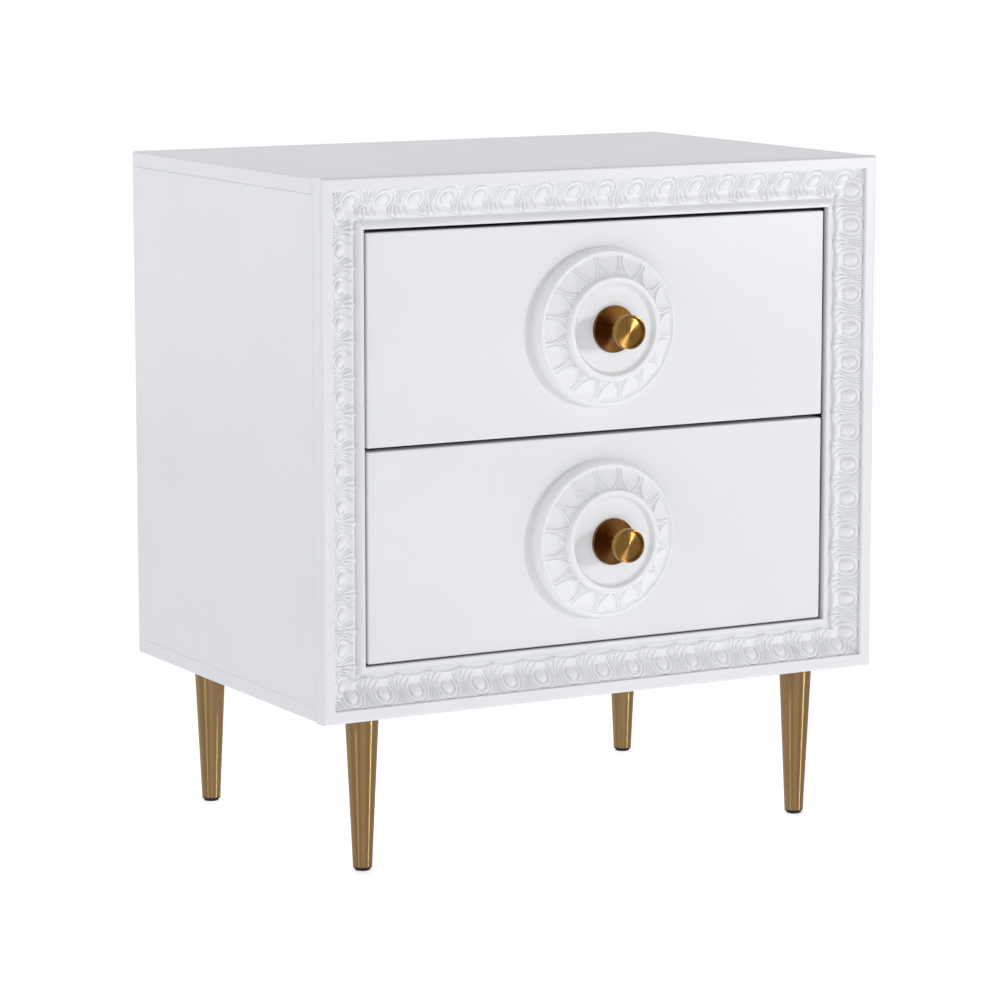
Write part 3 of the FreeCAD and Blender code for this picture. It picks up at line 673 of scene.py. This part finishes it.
def leafRelief(radius, angle):
    # carved height in mm added to the section at a radius and an angle
    r = rosette
    half = math.pi / r["leaves"]
    turn = (angle + half) % (2 * half) - half
    x = np.abs(turn) * radius
    inside = smoothStep(r["leafOuter"] + 0.2, r["leafOuter"] - 1.8, radius)
    inside = inside * smoothStep(r["leafInner"] - 0.2, r["leafInner"] + 0.9, radius)
    inward = np.maximum(r["neck"] - radius, 0) / (r["neck"] - r["leafInner"])
    outward = np.maximum(radius - r["neck"], 0) / (r["leafOuter"] - r["neck"])
    edge = r["neckSpread"] + (r["footSpread"] - r["neckSpread"]) * inward ** 1.8 + 0.3 * outward ** 1.7
    bead = r["beadHeight"] * ridge(x - edge, r["beadWidth"])
    veinRun = np.clip((r["veinStart"] - radius) / (r["veinStart"] - r["leafInner"]), 0, 1)
    vein = r["beadHeight"] * r["veinShare"] * ridge(
        x - r["veinSpread"] * veinRun ** 1.2, r["beadWidth"] * r["veinShare"])
    vein = vein * smoothStep(0.0, 0.12, veinRun)
    bud = r["beadHeight"] * r["budShare"] * ridge(x, r["budWidth"])
    bud = bud * smoothStep(r["budFrom"], r["budTo"], veinRun)
    room = np.maximum(half * radius - edge, 0.3)
    flute = np.clip((half * radius - x) / room, 0, 1)
    sunk = r["scoop"] * np.clip(room / r["fluteRoom"], 0, 1) ** 0.7 * (1 - flute ** 2)
    inLeaf = x < edge
    lines = np.maximum(bead, np.where(inLeaf, np.maximum(vein, bud), 0))
    ground = np.where(inLeaf, 0, -sunk)
    return np.where(lines > 0.05, lines, ground) * inside


def medallion(level):
    low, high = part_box("medallion_" + level)
    centre = (low + high) / 2
    frontY = high.y
    profile = rosetteProfile(high.x / mm)
    around = rosette["leaves"] * rosette["stepsPerLeaf"]
    angle = np.arange(around) * 2 * math.pi / around
    leafAngle = angle - math.pi / rosette["leaves"]
    rings = []
    for radius, height in profile:
        relief = leafRelief(np.full(around, radius), leafAngle)
        y = frontY - (height + relief) * mm
        x = centre.x + radius * mm * np.sin(angle)
        z = centre.z + radius * mm * np.cos(angle)
        rings.append(np.stack([x, y, z], -1))
    index = np.arange(len(rings) * around).reshape(len(rings), around)
    following = np.roll(index, -1, axis=1)
    quads = np.stack([index[1:], following[1:], following[:-1], index[:-1]], -1).reshape(-1, 4).tolist()
    tip = len(rings) * around
    vertices = np.concatenate(rings + [[[centre.x, frontY - rosette["dishHeight"] * mm, centre.z]]])
    fan = [(int(index[-1, i]), tip, int(following[-1, i])) for i in range(around)]
    piece = meshPiece("carvedMedallion_" + level, vertices, quads + fan + [tuple(index[0].tolist())],
                      carvedLitFinish, smoothAngle=60)
    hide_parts("medallion_" + level)
    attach(piece, "drawer_" + level)


for level in ("lower", "upper"):
    medallion(level)
print("medallions: two rosettes")


leg = {
    "segments": 160,          # fine enough that the streaks of light run unbroken
    "rings": 14,
    "footRadius": 9.1,
    "edgeRound": 0.8,
    "edgeSteps": 4,
    "studRadius": 4.0,        # screws into the plate under the case
    "studLength": 11.0,
    "socketRadius": 5.5,      # takes the threaded collar
    "socketDepth": 24.0,
}


def turnedLeg(place):
    low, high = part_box("leg_" + place)
    axis = (low + high) / 2
    topRadius = (high.x - low.x) / 2 / mm
    foot = low.z / mm
    top = high.z / mm - leg["studLength"]
    edge = leg["edgeRound"]
    outline = [(leg["socketRadius"], foot + leg["socketDepth"]), (leg["socketRadius"], foot)]
    outline += bend((leg["footRadius"] - edge / 2, foot), (leg["footRadius"], foot),
                    (leg["footRadius"], foot + edge / 2), leg["edgeSteps"])
    taper = np.linspace(0, 1, leg["rings"] + 2)[1:-1]
    outline += [(leg["footRadius"] + (topRadius - leg["footRadius"]) * share,
                 foot + edge + (top - foot - 2 * edge) * share) for share in taper]
    outline += bend((topRadius, top - edge), (topRadius, top), (topRadius - edge, top), leg["edgeSteps"])
    outline += [(leg["studRadius"], top), (leg["studRadius"], top + leg["studLength"])]
    angle = np.arange(leg["segments"]) * 2 * math.pi / leg["segments"]
    vertices = [(axis.x + radius * mm * math.cos(turn), axis.y + radius * mm * math.sin(turn), z * mm)
                for radius, z in outline for turn in angle]
    index = np.arange(len(vertices)).reshape(len(outline), leg["segments"])
    following = np.roll(index, -1, axis=1)
    sides = np.stack([index[:-1], following[:-1], following[1:], index[1:]], -1).reshape(-1, 4).tolist()
    ends = [index[0, ::-1].tolist(), index[-1].tolist()]
    piece = meshPiece("turnedLeg_" + place, vertices, sides + ends, legFinish, smoothAngle=35)
    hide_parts("leg_" + place)
    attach(piece, "case")


for place in ("front_left", "front_right", "back_left", "back_right"):
    turnedLeg(place)
print("legs: four turned bars")


stage = {
    "color": "#F4F5F7",
    "shade": "#F0F1F3",
    "roughness": 0.6,
    "glow": 0.54,             # a backlit shooting table: the sweep itself lifts to white
    "front": 6.0,             # m from the middle of the piece, as are the next two
    "back": 5.2,
    "side": 9.0,
    "height": 7.0,
    "sweep": 2.0,             # radius of the curve between floor and backdrop
    "sweepSteps": 12,
    "driftSize": 0.5,         # m across a drift of tone
}


def studioSweep():
    # a pale floor that curves up into a backdrop
    material, tree, shader = newMaterial("paleSweep")
    place = addNode(tree, "ShaderNodeTexCoord").outputs["Object"]
    drift = addNode(tree, "ShaderNodeTexNoise", {}, {
        "Vector": place, "Scale": 1 / stage["driftSize"], "Detail": 1.0})
    tone = addNode(tree, "ShaderNodeMix", {"data_type": "RGBA"})
    setInputs(tree, tone, {
        0: drift.outputs["Fac"], 6: hexColor(stage["shade"]), 7: hexColor(stage["color"])})
    setInputs(tree, shader, {
        "Base Color": tone.outputs[2],
        "Roughness": stage["roughness"],
        "Emission Color": tone.outputs[2],
        "Emission Strength": stage["glow"],
    })
    curve = [(stage["back"] - stage["sweep"], 0.0)]
    for i in range(1, stage["sweepSteps"] + 1):
        a = math.pi / 2 * i / stage["sweepSteps"]
        y = stage["back"] - stage["sweep"] + stage["sweep"] * math.sin(a)
        curve.append((y, stage["sweep"] * (1 - math.cos(a))))
    curve.append((stage["back"], stage["height"]))
    flat = [(-stage["front"], 0.0), curve[0]]
    for name, section in (("studioFloor", flat), ("studioWall", curve)):
        vertices = [(x, y, z) for y, z in section for x in (-stage["side"], stage["side"])]
        faces = [(2 * i, 2 * i + 1, 2 * i + 3, 2 * i + 2) for i in range(len(section) - 1)]
        piece = meshPiece(name, vertices, faces, material, smoothAngle=80)
        # keeps the brass from mirroring a plain white floor
        piece.visible_glossy = name == "studioWall"

    # pale screens on the open sides close the view and neither light nor shade the part
    corners = [(-stage["side"], stage["back"]), (-stage["side"], -stage["front"]),
               (stage["side"], -stage["front"]), (stage["side"], stage["back"])]
    vertices = [(x, y, z) for x, y in corners for z in (0.0, stage["height"])]
    faces = [(2 * i, 2 * i + 2, 2 * i + 3, 2 * i + 1) for i in range(3)]
    screens = meshPiece("studioScreens", vertices, faces, material, smoothAngle=80)
    screens.visible_diffuse = False
    screens.visible_glossy = False
    screens.visible_shadow = False


lights = {
    "key": {"at": (2.72, -3.38, 0.88), "size": 0.5, "watts": 42},
    "front": {"at": (-1.5, -4.1, 1.0), "size": 3.4, "watts": 14},
    "side": {"at": (-3.65, -1.3, 1.2), "size": 0.9, "watts": 15},
}
lightsAim = (0, 0, 0.35)
sky = {"color": "#FDFDFE", "strength": 0.425}


def addLights():
    aim = Vector(lightsAim)
    for name, light in lights.items():
        data = bpy.data.lights.new(name, "AREA")
        data.shape = "SQUARE"
        data.size = light["size"]
        data.energy = light["watts"]
        lamp = bpy.data.objects.new(name, data)
        lamp.location = light["at"]
        lamp.rotation_euler = (aim - lamp.location).to_track_quat("-Z", "Y").to_euler()
        bpy.context.scene.collection.objects.link(lamp)
    world = bpy.data.worlds.new("studio")
    bpy.context.scene.world = world
    world.use_nodes = True
    setInputs(world.node_tree, world.node_tree.nodes["Background"], {
        "Color": hexColor(sky["color"]), "Strength": sky["strength"]})


camera = {
    "turn": 29.19,            # degrees left of the front
    "tilt": 8.85,             # degrees above level
    "aim": (-0.0995, -0.1544, 0.3401),
    "distance": 3.85,
    "lens": 148.18,           # mm
    "sensor": 36,
}


def addCamera():
    turn = math.radians(camera["turn"])
    tilt = math.radians(camera["tilt"])
    toCamera = Vector((-math.sin(turn) * math.cos(tilt), -math.cos(turn) * math.cos(tilt), math.sin(tilt)))
    data = bpy.data.cameras.new("camera")
    data.lens = camera["lens"]
    data.sensor_width = camera["sensor"]
    eye = bpy.data.objects.new("camera", data)
    eye.location = Vector(camera["aim"]) + toCamera * camera["distance"]
    eye.rotation_euler = (-toCamera).to_track_quat("-Z", "Y").to_euler()
    bpy.context.scene.collection.objects.link(eye)
    bpy.context.scene.camera = eye


studioSweep()
addLights()
addCamera()
bpy.context.scene.view_settings.view_transform = "Standard"
print("stage, lights and camera: ready")
